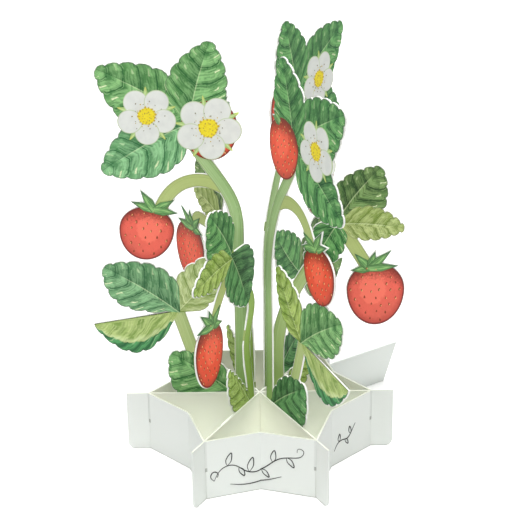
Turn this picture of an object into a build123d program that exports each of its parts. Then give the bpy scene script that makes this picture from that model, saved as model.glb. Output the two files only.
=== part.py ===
from build123d import *
import math
import os

# Pop-up card, all sizes in millimetres, angles in degrees.
# The origin is on the table, on the upright axis where the three base plates cross.
# X runs to the right, Y to the back and Z up, seen from the front of the card.

# Card stock and fits
plate_thickness = 0.6
wall_thickness = 0.6
sheet_thickness = 0.6
slot_clearance = 0.15
sheet_gap = 0.3
glue_gap = 0.1

# Base: three crossing plates inside a folded star wall
base_height = 25.4
tip_radius = 45.0
tab_length = 9.0
tab_corner = 3.0
slot_share = 0.48
front_angle = 61.5
back_angle = 56.0
front_fold_radius = 32.7
back_fold_radius = 34.8

# Message panel that leans out behind the right side
panel_height = 24.0
panel_length = 35.2
panel_setback = 1.1
panel_heading = 34.5
panel_lean = 20.0
panel_tab_width = 8.0
panel_tab_margin = 2.0
panel_thickness = 0.6

# Plant sheets: foot behind the plate and the stem
foot_start = 3.2
foot_reach = 30.0
foot_bottom = 3.0
foot_top = 24.8
stem_width = 5.2
branch_width = 5.6
ribbon_steps = 12
leaf_teeth = 6
leaf_tooth_depth = 1.0
leaf_fullness = 0.75
leaf_widest = 0.43
broad_leaf_widest = 0.55
far_leaf_widest = 0.6
leaf_neck = 0.14
leaf_tip_crowding = 1.4
# One tooth from notch to notch: how far along it each corner lies, and how far out, in shares
leaf_tooth_shape = ((0.0, 0.0), (0.2, 0.72), (0.5, 1.0), (0.85, 0.75))
berry_shoulder = 0.42
low_berry_height = 27.0
petal_count = 5
petal_share = 0.42
sepal_width = 3.2
sepal_belly_width = 4.0
sepal_belly_place = 0.4
smallest_opening_area = 1.0

# The six arms, named by where they point; the plates join opposite arms
arm_angles = {
    "right": 0.0,
    "back_right": back_angle,
    "back_left": 180.0 - back_angle,
    "left": 180.0,
    "front_left": 180.0 + front_angle,
    "front_right": 360.0 - front_angle,
}
# From the plate that is whole at the bottom of the axis to the one that is whole at the top
plate_arms = {
    "base_plate_right": ("front_right", "back_left"),
    "base_plate_left": ("front_left", "back_right"),
    "base_plate_cross": ("left", "right"),
}
plate_reach = tip_radius + tab_length
wall_slot_top = slot_share * base_height


def polar(radius, angle):
    return (radius * math.cos(math.radians(angle)), radius * math.sin(math.radians(angle)))


def middle(angle_a, angle_b):
    return (angle_a + angle_b) / 2


# Star wall: plan of the folded strip, tip by tip, with a fold pushed in between neighbours.
# The wall between the two back tips is pulled straight.
def star_plan():
    angles = list(arm_angles.values())
    fold_radii = [back_fold_radius, None, back_fold_radius,
                  front_fold_radius, front_fold_radius, front_fold_radius]
    points = []
    for index, angle in enumerate(angles):
        following = angles[index + 1] if index + 1 < len(angles) else 360.0
        points.append(polar(tip_radius, angle))
        if fold_radii[index]:
            points.append(polar(fold_radii[index], middle(angle, following)))
    return points


# The same plan with every side moved straight out by the given distance
def widened_plan(distance):
    points = star_plan()
    corners = []
    for before, here, after in zip(points[-1:] + points[:-1], points, points[1:] + points[:1]):
        arriving, leaving = [
            ((end[1] - start[1]) / math.dist(start, end), (start[0] - end[0]) / math.dist(start, end))
            for start, end in ((before, here), (here, after))]
        reach = distance / (1 + arriving[0] * leaving[0] + arriving[1] * leaving[1])
        corners.append((here[0] + (arriving[0] + leaving[0]) * reach,
                        here[1] + (arriving[1] + leaving[1]) * reach))
    return make_face(Polyline(*corners, close=True))


def wall_band(thickness, bottom, top):
    band = widened_plan(thickness / 2) - widened_plan(-thickness / 2)
    return Pos(0, 0, bottom) * extrude(band, top - bottom)


def arm_blank(angle, thickness, start, reach, bottom, top, corner=0):
    block = Box(reach - start, thickness, top - bottom, align=(Align.MIN, Align.CENTER, Align.MIN))
    if corner:
        lower_end = block.edges().filter_by(Axis.Y).group_by(Axis.Z)[0].sort_by(Axis.X)[-1]
        block = fillet(lower_end, corner)
    return Rot(0, 0, angle) * Pos(start, 0, bottom) * block


# Each plate is whole over one third of its height at the axis; the other two plates are slotted there.
def centre_slot_reach():
    crossing = math.radians(min(180 - 2 * front_angle, 180 - 2 * back_angle, front_angle, back_angle))
    half = plate_thickness / 2
    return (slot_clearance + half + half * math.cos(crossing)) / math.sin(crossing)


def base_plate(arms, whole_step):
    plate = Part()
    for arm in arms:
        plate += arm_blank(arm_angles[arm], plate_thickness, 0, plate_reach, 0, base_height, tab_corner)
    step_height = base_height / len(plate_arms)
    gap = slot_clearance / 2
    for step in range(len(plate_arms)):
        if step != whole_step:
            plate -= Pos(0, 0, step * step_height - gap) * Cylinder(
                centre_slot_reach(), step_height + 2 * gap, align=(Align.CENTER, Align.CENTER, Align.MIN))
    return plate - wall_band(wall_thickness + 2 * slot_clearance, wall_slot_top - slot_clearance,
                             base_height + slot_clearance)


def star_wall():
    wall = wall_band(wall_thickness, 0, base_height)
    for angle in arm_angles.values():
        wall -= arm_blank(angle, plate_thickness + 2 * slot_clearance, tip_radius - tab_length,
                          plate_reach, -slot_clearance, wall_slot_top)
    return wall


# Message panel: a leaning sheet whose slanted fold lies on the outside of the back right wall.
# Its foot leaves the wall a little before the corner where the plate comes through.
def message_panel():
    fold = Vector(*polar(back_fold_radius, middle(0, back_angle)), 0)
    tip = Vector(*polar(tip_radius, back_angle), 0)
    along = (tip - fold).normalized()
    outward = Vector(along.Y, -along.X, 0)
    seam_foot = tip - along * panel_setback + outward * (wall_thickness / 2 + glue_gap)
    wall_plane = Plane(seam_foot, x_dir=along, z_dir=outward)
    heading = Vector(*polar(1, panel_heading), 0)
    lean = math.radians(panel_lean)
    rise = Vector(heading.Y * math.sin(lean), -heading.X * math.sin(lean), math.cos(lean))
    beyond = 4 * tip_radius
    slab = Plane(seam_foot, x_dir=heading, z_dir=heading.cross(rise)) * Pos(panel_length, 0, 0) * Box(
        beyond, panel_height, panel_thickness, align=(Align.MAX, Align.MIN, Align.CENTER))
    keep_out = wall_plane * Box(beyond, beyond, beyond, align=(Align.CENTER, Align.CENTER, Align.MIN))
    panel = slab & keep_out
    panel += wall_plane * extrude(glue_tab_outline(panel, wall_plane), panel_thickness)
    ground = Box(beyond, beyond, beyond, align=(Align.CENTER, Align.CENTER, Align.MIN))
    return panel & ground


def glue_tab_outline(panel, wall_plane):
    corners = [wall_plane.to_local_coords(vertex.center()) for vertex in panel.vertices()]
    seam = [point for point in corners if abs(point.Z) < panel_thickness / 10]
    seam.sort(key=lambda point: point.Y)
    low, high = seam[0], seam[-1]
    points = [(low.X, low.Y), (high.X, high.Y),
              (high.X - panel_tab_width, high.Y - panel_tab_margin),
              (low.X - panel_tab_width, low.Y + panel_tab_margin)]
    return make_face(Polyline(*points, close=True))


# Plant outlines are drawn flat: first coordinate out from the axis, second one up from the table.
# Ribbon: a stem of even width along a smooth path through the given points, cut in short straight steps
def ribbon(points, width):
    path = Spline(*points)
    sides = ([], [])
    for step in range(ribbon_steps + 1):
        here, ahead = path @ (step / ribbon_steps), path % (step / ribbon_steps)
        for side, sign in zip(sides, (1, -1)):
            side.append((here.X - sign * ahead.Y * width / 2, here.Y + sign * ahead.X * width / 2))
    return make_face(Polyline(*sides[0], *reversed(sides[1]), close=True))


# Leaflet: toothed oval from its neck to its tip. Left and right of that line it has its own reach, and its own
# widest place as a share of the way to the tip.
# A side without reach is the straight fold of a leaflet that is folded over.
def leaf(base, tip, left, right, left_widest=leaf_widest, right_widest=leaf_widest):
    length = math.dist(base, tip)
    along = ((tip[0] - base[0]) / length, (tip[1] - base[1]) / length)

    def edge_point(count, bulge, side, reach, widest):
        share = 1 - (1 - leaf_neck) * (1 - count / leaf_teeth) ** leaf_tip_crowding
        swell = math.sin(math.pi * share ** (math.log(0.5) / math.log(widest))) ** leaf_fullness
        across = side * ((reach - leaf_tooth_depth) * swell + bulge)
        return (base[0] + along[0] * length * share - along[1] * across,
                base[1] + along[1] * length * share + along[0] * across)

    sides = [[edge_point(tooth + step, rise * leaf_tooth_depth, side, reach, widest)
              for tooth in range(leaf_teeth) for step, rise in leaf_tooth_shape] if reach else []
             for side, reach, widest in ((1, left, left_widest), (-1, right, right_widest))]
    return make_face(Polyline(base, *sides[0], tip, *reversed(sides[1]), close=True))


# Berry: rounded shoulders above a longer tapering lower half, turned by lean
def berry(centre, width, height, lean=0):
    shoulder = berry_shoulder * height
    crown = shoulder - height / 2
    top = EllipticalCenterArc((0, -crown), width / 2, shoulder, start_angle=0, arc_size=180)
    bottom = EllipticalCenterArc((0, -crown), width / 2, height - shoulder, start_angle=180, arc_size=180)
    return Pos(*centre) * Rot(0, 0, lean) * make_face(top + bottom)


# Sepals: pointed strips that start at the crown of a berry and are widest below their middle
def sepals(crown, tips):
    faces = []
    for tip in tips:
        length = math.dist(crown, tip)
        along = ((tip[0] - crown[0]) / length, (tip[1] - crown[1]) / length)

        def corner(share, across):
            return (crown[0] + along[0] * length * share - along[1] * across,
                    crown[1] + along[1] * length * share + along[0] * across)

        rise = [(0, sepal_width / 2), (sepal_belly_place, sepal_belly_width / 2)]
        left = [corner(share, across) for share, across in rise]
        right = [corner(share, -across) for share, across in reversed(rise)]
        faces.append(make_face(Polyline(*left, tip, *right, close=True)))
    return faces


def flower(centre, radius, turn):
    petal_radius = petal_share * radius
    petal_seat = radius - petal_radius
    petals = [Pos(*centre) * Pos(*polar(petal_seat, turn + 360 / petal_count * petal)) * Circle(petal_radius)
              for petal in range(petal_count)]
    return petals + [Pos(*centre) * Circle(petal_seat)]


def foot():
    width = foot_reach - foot_start
    return Pos(foot_start, foot_bottom) * Rectangle(width, foot_top - foot_bottom, align=Align.MIN)


# Tall sprig: a berry and a blossom at the top, a hanging berry and three leaflets half way.
# Its upper part and its middle leaflets are drawn a little higher or further out on some sheets.
def tall_sprig(top, node, second_flower):
    def at(x, y):
        return (x + top[0], y + top[1])

    def near(x, y):
        return (x + node[0], y + node[1])

    faces = [
        ribbon([(7, foot_bottom), (7.2, 40), (7.2, 70), (7.8, 90), at(8.5, 104), at(14, 116), at(22, 128),
                at(28, 142)], stem_width),
        ribbon([at(13, 113.5), at(21, 116.5), at(29, 115), at(34.5, 110), at(38, 103)], branch_width),
        ribbon([(19, foot_bottom), (23.5, 33), near(27.5, 47), near(32, 62)], branch_width),
        leaf((7, 22), (35.5, 43), 8.5, 14.5, broad_leaf_widest, broad_leaf_widest),
        leaf(near(32, 61), near(13, 86), 9, 9.5),
        leaf(near(31, 61), near(60.5, 81), 12.5, 10.5, right_widest=far_leaf_widest),
        leaf(near(31, 62), near(65.5, 56.5), 0, 16, right_widest=broad_leaf_widest),
        berry(at(43, 95), 21.5, 22.5, 8),
        berry(at(17.5, 136.5), 21.5, 24, -8),
        leaf(at(25.5, 139), at(16.5, 171), 11.3, 12.5),
        leaf(at(26, 142), at(59.5, 161), 11.8, 13.7),
        leaf(at(25.5, 139.5), at(59, 120.5), 11.5, 13.2),
        *sepals(at(39.5, 104.5), [at(49, 108.5), at(45, 113.5), at(31, 109), at(30, 103)]),
        *sepals(at(15, 146), [at(9, 147.5), at(10, 150)]),
        *flower(at(41, 142.5), 11.5, 54),
    ]
    if second_flower:
        faces += flower(at(18, 137.5), 12.8, 46)
    return faces


# Low sprig: three leaflets at the head of a leaning stem and one large hanging berry.
# Leaf tips are given from the head of the stem, and the foot leaf's tip from the axis.
def low_sprig(head, berry_centre, berry_width, foot_leaf, outer_leaf, inner_leaf):
    def at(x, y):
        return (x + head[0], y + head[1])

    def below(x, y):
        return (x + berry_centre[0], y + berry_centre[1])

    return [
        ribbon([(7, foot_bottom), (7.3, 36), (8.5, 54), at(-16, -26), at(-8, -13), at(0, 1)], stem_width),
        ribbon([at(-1, 1), at(3, -6.5), below(-6.5, 17), below(-2.5, 10)], branch_width),
        leaf((6, 22), *foot_leaf),
        leaf(at(-1, 1), at(15.5, 22), 9.5, 12.5),
        leaf(at(-1, -1), at(*outer_leaf), 8.8, 6.5),
        leaf(at(0, 1), at(*inner_leaf[0]), *inner_leaf[1:]),
        berry(berry_centre, berry_width, low_berry_height),
        *sepals(below(-2.5, 11), [below(-10.5, 10), below(-9, 18), below(0, 19), below(6.5, 19),
                                  below(9.5, 12)]),
    ]


sprigs = {
    "left": lambda: tall_sprig((0, 0), (0, 0), True),
    "front_right": lambda: tall_sprig((2.5, -1.5), (1, 0), False),
    "back_right": lambda: tall_sprig((4, 2.5), (0, 4), False),
    "right": lambda: low_sprig((32, 99), (46, 68), 23, ((20, 41), 3, 6.5), (25, -3.5),
                               ((-12, -23), 7.5, 8.5)),
    "front_left": lambda: low_sprig((20.5, 92.5), (38, 59), 20.5, ((23.5, 45.5), 3, 9.5), (28, -4.5),
                                    ((-12.5, -25), 10.3, 14)),
    "back_left": lambda: low_sprig((28, 93), (51.5, 69.5), 22, ((24, 46), 3, 8), (19, 6),
                                   ((-12, -23), 7.5, 8)),
}


def plant_sheet(arm):
    angle = arm_angles[arm]
    radial = Vector(*polar(1, angle), 0)
    normal = Vector(radial.Y, -radial.X, 0)
    faces_front = arm in ("right", "front_right", "back_right")
    setback = (plate_thickness + sheet_thickness) / 2 + sheet_gap
    behind = normal * (-setback if faces_front else setback)
    drawn = (Sketch() + [foot(), *sprigs[arm]()]).face()
    # An opening too small to punch out stays paper
    openings = [wire for wire in drawn.inner_wires() if abs(Face(wire).area) > smallest_opening_area]
    sheet = extrude(Face(drawn.outer_wire(), openings), sheet_thickness / 2, both=True)
    return Plane(behind, x_dir=radial, z_dir=normal) * sheet


parts = {"star_wall": star_wall()}
for whole_step, (name, arms) in enumerate(plate_arms.items()):
    parts[name] = base_plate(arms, whole_step)
for arm in arm_angles:
    parts[f"plant_{arm}"] = plant_sheet(arm)
parts["message_panel"] = message_panel()

os.makedirs("parts", exist_ok=True)
for name, solid in parts.items():
    export_step(solid, f"parts/{name}.step")
    print(name, round(solid.volume, 2))
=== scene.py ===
import math

import bpy
import numpy as np
from mathutils import Matrix, Vector


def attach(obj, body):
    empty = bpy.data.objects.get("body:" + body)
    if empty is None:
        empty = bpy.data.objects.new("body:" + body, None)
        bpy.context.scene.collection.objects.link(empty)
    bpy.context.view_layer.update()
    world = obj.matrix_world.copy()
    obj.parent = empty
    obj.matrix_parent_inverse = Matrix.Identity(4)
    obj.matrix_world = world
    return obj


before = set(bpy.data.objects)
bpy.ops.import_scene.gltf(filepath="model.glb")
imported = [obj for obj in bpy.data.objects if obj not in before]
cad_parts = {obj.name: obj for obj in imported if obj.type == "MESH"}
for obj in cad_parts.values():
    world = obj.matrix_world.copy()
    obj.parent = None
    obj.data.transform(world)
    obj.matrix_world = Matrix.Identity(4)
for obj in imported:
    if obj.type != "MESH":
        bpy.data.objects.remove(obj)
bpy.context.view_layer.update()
print("frame loaded")

mm = 0.001

# The card: sizes in millimetres and directions in degrees, as it was cut
card = {
    "sheet": 0.6,
    "setback": 0.9,                  # from the middle of a base plate to the middle of the sheet behind it
    "rim": 0.26,                     # white border left between the print and the cut edge
    "tip": 45.0,                     # from the axis to each point of the star
    "frontFold": 32.7,               # from the axis to the fold between the front arms
    "sideFold": (28.1, -16.72),      # the fold between the front right arm and the right arm
    "arms": {"right": 0.0, "back_right": 56.0, "back_left": 124.0, "left": 180.0,
             "front_left": 241.5, "front_right": 298.5},
    "behind": ("right", "front_right", "back_right"),   # sheets set back to the left of their arm
}

# How far each layer of ink stands off the sheet, in millimetres; a step lifts one shape over the last
layers = {"branch": 0.05, "stem": 0.08, "leaf": 0.12, "leafStep": 0.02, "berry": 0.28, "sepal": 0.30,
          "sepalStep": 0.012, "seed": 0.32, "seedStep": 0.03, "petal": 0.36, "petalStep": 0.025,
          "heart": 0.52, "heartStep": 0.005, "dot": 0.56}


def ink(colour):
    # three numbers are a colour as seen on the printed card, 0 to 255, and become scene light
    if not isinstance(colour, tuple) or len(colour) != 3:
        return colour
    seen = [part / 255 for part in colour]
    return (*(part / 12.92 if part <= 10 / 255 else ((part + 0.055) / 1.055) ** 2.4 for part in seen), 1)


class Value:
    # one number in a node tree, so that its maths can be written as maths
    def __init__(self, nodes, socket):
        self.nodes = nodes
        self.socket = socket

    def run(self, operation, *others):
        return self.nodes.value("ShaderNodeMath", {"operation": operation}, [self, *others])

    def __add__(self, other):
        return self.run("ADD", other)

    def __sub__(self, other):
        return self.run("SUBTRACT", other)

    def __mul__(self, other):
        return self.run("MULTIPLY", other)

    def __truediv__(self, other):
        return self.run("DIVIDE", other)

    def __rsub__(self, other):
        return self * -1 + other

    def __abs__(self):
        return self.run("ABSOLUTE")

    __radd__ = __add__
    __rmul__ = __mul__

    def fraction(self):
        return self.run("FRACT")

    def whole(self):
        return self.run("FLOOR")

    def above(self, other):
        return self.run("GREATER_THAN", other)

    def atMost(self, other):
        return self.run("MINIMUM", other)


def reachOf(x, y):
    return (x * x + y * y).run("SQRT")


class NodeTree:
    # what paints, growths and the sky share: one way to add a node
    def __init__(self, tree):
        self.tree = tree

    def node(self, kind, settings=None, sockets=()):
        made = self.tree.nodes.new(kind)
        for key, value in (settings or {}).items():
            setattr(made, key, value)
        for key, value in (sockets.items() if isinstance(sockets, dict) else enumerate(sockets)):
            self.feed(made.inputs[key], value)
        return made

    def feed(self, target, value):
        source = getattr(value, "socket", value)
        if isinstance(source, bpy.types.NodeSocket):
            self.tree.links.new(source, target)
        else:
            target.default_value = source

    def value(self, kind, settings=None, sockets=(), output=0):
        return Value(self, self.node(kind, settings, sockets).outputs[output])

    def parts(self, vector):
        return [Value(self, out) for out in self.node("ShaderNodeSeparateXYZ", None, [vector]).outputs]

    def vector(self, x, y, z=0.0):
        return self.node("ShaderNodeCombineXYZ", None, [x, y, z]).outputs[0]

    def seenDirectly(self):
        # 1 where the camera looks, straight or in a mirror or through glass; 0 for the light on the card
        rays = self.node("ShaderNodeLightPath").outputs
        seen = Value(self, rays["Is Camera Ray"]) + Value(self, rays["Is Glossy Ray"])
        return (seen + Value(self, rays["Is Transmission Ray"])).atMost(1.0)


# The fibres that the light feels: depth in millimetres
toothLook = {"depth": 0.1, "noise": {"scale": 2600.0, "detail": 3.0, "roughness": 0.6}}


class Paint(NodeTree):
    # a material on the principled shader; its colour is laid on in layers
    def __init__(self, name, colour, roughness=0.62, specular=0.25):
        self.material = bpy.data.materials.new(name)
        self.material.use_nodes = True
        super().__init__(self.material.node_tree)
        self.colour = colour
        self.shader = self.tree.nodes["Principled BSDF"]
        self.shader.inputs["Roughness"].default_value = roughness
        self.shader.inputs["Specular IOR Level"].default_value = specular

    def stored(self, name):
        return self.parts(self.node("ShaderNodeAttribute", {"attribute_name": name}).outputs["Vector"])

    def place(self):
        return self.node("ShaderNodeTexCoord").outputs["Object"]

    def noise(self, vector, scale, detail=2.0, roughness=0.5):
        return self.value("ShaderNodeTexNoise", None, {"Vector": vector, "Scale": scale, "Detail": detail,
                                                       "Roughness": roughness}, "Fac")

    def mottle(self, scale, detail=2.0, roughness=0.5):
        return self.noise(self.place(), scale, detail, roughness)

    def chance(self, value):
        return self.value("ShaderNodeTexWhiteNoise", {"noise_dimensions": "1D"}, {"W": value}, "Value")

    def ramp(self, value, low, high):
        return self.value("ShaderNodeMapRange", {"interpolation_type": "SMOOTHSTEP"}, [value, low, high])

    def fade(self, value, low, high):
        return 1 - self.ramp(value, low, high)

    def stripe(self, value, middle, inner, outer):
        # 1 where the value is near the middle, 0 beyond the outer distance
        return self.fade(abs(value - middle), inner, outer)

    def mix(self, cover, first, second):
        made = self.node("ShaderNodeMix", {"data_type": "RGBA"}, {0: cover, 6: ink(first), 7: ink(second)})
        return made.outputs[2]

    def lay(self, cover, colour):
        self.colour = self.mix(cover, self.colour, colour)

    def finish(self, tooth=0.15):
        # tooth is how strongly the fibres of the card are felt
        self.feed(self.shader.inputs["Base Color"], self.colour)
        if tooth:
            bump = {"Strength": tooth, "Distance": toothLook["depth"] * mm,
                    "Height": self.mottle(**toothLook["noise"])}
            self.feed(self.shader.inputs["Normal"], self.node("ShaderNodeBump", None, bump).outputs[0])
        return self.material


# A leaf's print: one half in shade, a dark vein to every notch, pencil strokes along the veins, and pale
# touches further out. Where "under" holds two inks, the leaf is turned over at its rim and shows them there.
leafLook = {"swell": 0.62, "shade": 0.95, "shadeReach": 0.8, "wash": 0.4, "vein": 0.9, "darkStrokes": 0.5,
            "paleStrokes": 0.45, "fineDark": 0.5, "finePale": 0.55, "grain": 0.3, "glints": 0.95,
            "midline": 0.35, "curve": 1.1, "wander": 0.34, "under": None, "underFrom": 0.74,
            "pale": (232, 242, 196), "outline": (84, 94, 84), "outlineCover": 0.65,
            "wanderScale": 0.16, "washScale": 0.2, "grainScale": 2.4, "washAt": (0.42, 0.66),
            "crestRise": (0.04, 0.34), "crestFall": (0.42, 0.95)}

# Pencil strokes beside the veins: lanes from vein to vein, where the pattern starts, how full, how broken
leafStrokes = {"pale": (3.0, 0.37, 0.55, 3.4), "deep": (4.0, 5.81, 0.45, 3.4),
               "finePale": (6.0, 2.43, 0.4, 2.2), "fineDark": (7.0, 8.17, 0.36, 2.4)}

# Inks of each leaf: its shaded half, its lit half, light strokes, dark strokes
leafInks = {"meadow": [(84, 144, 76), (104, 166, 96), (160, 212, 142), (34, 90, 44)],
            "forest": [(56, 122, 62), (72, 142, 76), (134, 196, 120), (20, 72, 38)],
            "fern": [(96, 158, 98), (116, 178, 118), (164, 218, 162), (44, 102, 60)],
            "sage": [(86, 142, 92), (112, 168, 116), (158, 206, 154), (46, 94, 58)],
            "straw": [(152, 176, 88), (174, 192, 112), (204, 218, 152), (98, 124, 48)],
            "hay": [(168, 190, 112), (186, 204, 136), (216, 228, 176), (112, 140, 62)],
            "turned": [(158, 186, 104), (158, 186, 104), (204, 220, 150), (98, 132, 54)],
            "moss": [(62, 102, 50), (92, 132, 70), (146, 180, 112), (28, 58, 26)],
            "lime": [(150, 186, 74), (172, 204, 94), (200, 222, 138), (82, 112, 34)],
            "night": [(50, 104, 56), (74, 140, 78), (122, 184, 116), (20, 60, 32)]}
dryLeaf = {"glints": 0.35, "shade": 0.35, "midline": 0.35, "outline": (128, 132, 96)}
leafChanges = {"forest": {"glints": 0.7}, "straw": dryLeaf, "hay": dryLeaf, "moss": {"glints": 0.9},
               "lime": {"glints": 0.35, "shade": 0.6}, "night": {"glints": 0.35},
               "turned": {"shade": 0.0, "midline": 0.0, "curve": 0.0, "glints": 0.3, "darkStrokes": 0.6,
                          "swell": 0.3, "vein": 0.55, "under": ((86, 158, 98), (44, 98, 60))}}


def strokes(paint, phase, out, kind):
    lanes, start, full, broken = leafStrokes[kind]
    lane = phase * lanes + start
    width = paint.stripe(lane.fraction(), 0.5, 0.16, 0.42)
    length = paint.noise(paint.vector(lane.whole() * 3.7, out * broken, start), 1.0, 1.0)
    return width * paint.ramp(length, 0.62 - full * 0.3, 0.68 - full * 0.3)


def leafPaint(name, inks, changes):
    look = {**leafLook, **changes}
    shadedInk, litInk, light, dark = inks
    paint = Paint("leaf_" + name, litInk)
    across, along, reach = paint.stored("flat")
    side, share, phase = paint.stored("share")
    out = abs(side)
    across = across - share * (1 - share) * 4.0 * look["curve"]      # the line between the halves bows
    shaded = paint.ramp(across, -0.05, 0.05)
    wander = paint.noise(paint.vector(across, along, 3.0), look["wanderScale"], 0.0)
    phase = phase + (wander - 0.5) * look["wander"]
    band = phase.fraction()                                          # from one vein, 0, to the next, 1
    number = phase.whole() + side.above(0.0) * 31.0
    first, second, third = (paint.chance(number * 1.7 + shift) for shift in (0.3, 5.1, 9.7))
    wash = paint.noise(paint.vector(across, along, 9.0), look["washScale"], 2.0)
    grainy = paint.noise(paint.vector(across, along, 5.0), look["grainScale"], 2.0, 0.7)
    tipward = 1 - paint.ramp(share, 0.84, 1.0) * 0.75                # the drawing grows fainter near the tip

    paint.lay(shaded, shadedInk)
    paint.lay(paint.ramp(wash, *look["washAt"]) * look["wash"], light)
    crest = paint.ramp(band, *look["crestRise"]) * paint.fade(band, *look["crestFall"])
    paint.lay(crest * (first * 0.5 + 0.3) * look["swell"] * tipward, light)
    paint.lay((1 - crest) * (second * 0.5 + 0.3) * look["swell"] * tipward, dark)
    depth = paint.fade(out + (wash - 0.5) * 0.5, 0.03, look["shadeReach"]) * shaded
    paint.lay(depth * look["shade"] * (1 - share * 0.5), dark)

    pale = strokes(paint, phase, out, "pale") * (tipward * 0.7 + 0.3)
    paint.lay(pale * look["paleStrokes"] * (1 - shaded * 0.35), light)
    deep = strokes(paint, phase, out, "deep") * (tipward * 0.7 + 0.3)
    paint.lay(deep * look["darkStrokes"] * 0.75, dark)
    sparse = paint.ramp(wash, 0.3, 0.6) * (1 - paint.ramp(share, 0.66, 0.9) * 0.7)
    finePale = strokes(paint, phase, out, "finePale")
    paint.lay(finePale * look["finePale"] * (1 - shaded * 0.45) * (1.2 - sparse * 0.5), light)
    fineDark = strokes(paint, phase, out, "fineDark")
    paint.lay(fineDark * look["fineDark"] * (sparse * 0.8 + 0.2), dark)
    paint.lay(paint.ramp(grainy, 0.56, 0.72) * look["grain"], dark)
    paint.lay(paint.ramp(grainy, 0.44, 0.28) * look["grain"], light)
    vein = paint.stripe(band, 0.03, 0.03, 0.1) * paint.fade(out, 0.86, 1.0) * tipward
    paint.lay(vein * look["vein"] * (0.6 + grainy * 0.7), dark)

    if look["under"]:
        underLight, underDark = look["under"]
        notch = abs(band - 0.5) * 0.14
        fold = look["underFrom"]
        brim = (1 - (abs(out - notch - fold + 0.13) * 9.0).atMost(1.0)) * 0.35
        paint.lay(brim, look["pale"])
        under = paint.mix(paint.ramp(abs(band - 0.45), 0.1, 0.5), underLight, underDark)
        under = paint.mix(deep * 0.6, under, underDark)
        paint.lay(paint.ramp(out + (grainy - 0.5) * 0.05 - notch, fold - 0.09, fold - 0.05), under)

    for start, spread in ((0.5, first), (0.72, third)):
        inWidth = paint.stripe(band - 0.34, second * 0.3, 0.03, 0.075)
        inLength = paint.stripe(out, spread * 0.18 + start, 0.07, 0.13)
        glint = inWidth * inLength * paint.ramp(spread, 0.3, 0.34) * (1 - shaded * 0.6) * tipward
        paint.lay(glint * paint.ramp(grainy, 0.36, 0.46) * look["glints"], look["pale"])
    paint.lay(paint.stripe(across, 0.1, 0.08, 0.3) * look["midline"] * (1 - share * 0.4), dark)
    ribLight = paint.stripe(across, -0.3, 0.08, 0.28)
    paint.lay(ribLight * look["midline"] * paint.fade(share, 0.55, 0.85), look["pale"])
    paint.lay(paint.fade(reach, 0.08, 0.5) * look["outlineCover"], look["outline"])
    return paint.finish()


stemLook = {"width": 5.2, "branchWidth": 5.6, "steps": 60, "streaks": 0.55, "shadow": 0.55,
            "lightSide": 0.5, "lowTo": 70.0, "low": 0.75, "line": 0.45, "specks": 0.35,
            "outline": (128, 136, 92), "outlineCover": 0.55}


def stemPaint(name, middle, shadow, light, low):
    look = stemLook
    paint = Paint(name, middle)
    across, along, reach = paint.stored("flat")
    side = paint.stored("share")[0]
    streak = paint.noise(paint.vector(across * 2.4, along * 0.05, 4.0), 1.0, 3.0, 0.55)
    paint.lay(paint.ramp(streak, 0.4, 0.7) * look["streaks"], light)
    paint.lay(paint.ramp(side, 0.35, 1.0) * look["shadow"], shadow)
    lightSide = paint.ramp(-1 * side, 0.66, 0.78) * paint.ramp(streak, 0.3, 0.6)
    paint.lay(lightSide * look["lightSide"], light)
    paint.lay(paint.fade(along, 0.0, look["lowTo"]) * look["low"], low)
    paint.lay(paint.stripe(side - 0.5, (streak - 0.5) * -0.25, 0.04, 0.11) * look["line"], shadow)
    specks = paint.noise(paint.vector(across * 3.0, along * 0.6, 8.0), 1.0, 1.0)
    paint.lay(paint.ramp(specks, 0.66, 0.7) * look["specks"], light)
    paint.lay(paint.fade(reach, 0.1, 0.5) * look["outlineCover"], look["outline"])
    return paint.finish()


berryLook = {"flesh": (240, 106, 90), "glow": (255, 124, 104), "low": (220, 102, 86),
             "crown": (120, 50, 38), "crownFrom": 0.26, "edge": (178, 62, 54), "outline": (112, 46, 44),
             "glowCover": 0.9, "edgeCover": 0.7, "crownCover": 0.9, "speckles": 0.45, "outlineCover": 0.85,
             "lowAt": (0.15, 0.75), "glowAt": (0.5, 0.62), "edgeAt": (0.74, 1.0), "outlineAt": (0.94, 0.97),
             "mottleScale": 300.0, "dappleScale": 1700.0}


def berryPaint(name, **changes):
    look = {**berryLook, **changes}
    paint = Paint(name, look["flesh"], roughness=0.55)
    x, y = paint.stored("share")[:2]
    mottle = paint.mottle(look["mottleScale"], 3.0, 0.6)
    dapple = paint.mottle(look["dappleScale"], 2.0, 0.7)
    radius = reachOf(x, y)
    paint.lay(paint.ramp(x * 0.35 - y * 0.6 + (mottle - 0.5) * 0.5, *look["lowAt"]), look["low"])
    middle = ((x + 0.1) * (x + 0.1) * 1.5 + (y - 0.08) * (y - 0.08) * 1.2).run("SQRT")
    paint.lay(paint.fade(middle + (mottle - 0.5) * 0.4, *look["glowAt"]) * look["glowCover"], look["glow"])
    paint.lay(paint.ramp(radius + (mottle - 0.5) * 0.14, *look["edgeAt"]) * look["edgeCover"], look["edge"])
    top = y + x * x * 0.35 + (dapple - 0.5) * 0.7 + (mottle - 0.5) * 0.3
    paint.lay(paint.ramp(top, look["crownFrom"], 0.95) * look["crownCover"], look["crown"])
    paint.lay(paint.ramp(dapple, 0.56, 0.7) * paint.ramp(radius, 0.2, 1.0) * look["speckles"], look["edge"])
    paint.lay(paint.ramp(radius, *look["outlineAt"]) * look["outlineCover"], look["outline"])
    return paint.finish()


petalLook = {"white": (226, 229, 224), "grey": (218, 221, 217), "greyScale": 260.0, "greyAt": (0.35, 0.7),
             "outline": (188, 204, 162), "outlineCover": 0.8, "outlineAt": (0.9, 0.98)}


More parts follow.
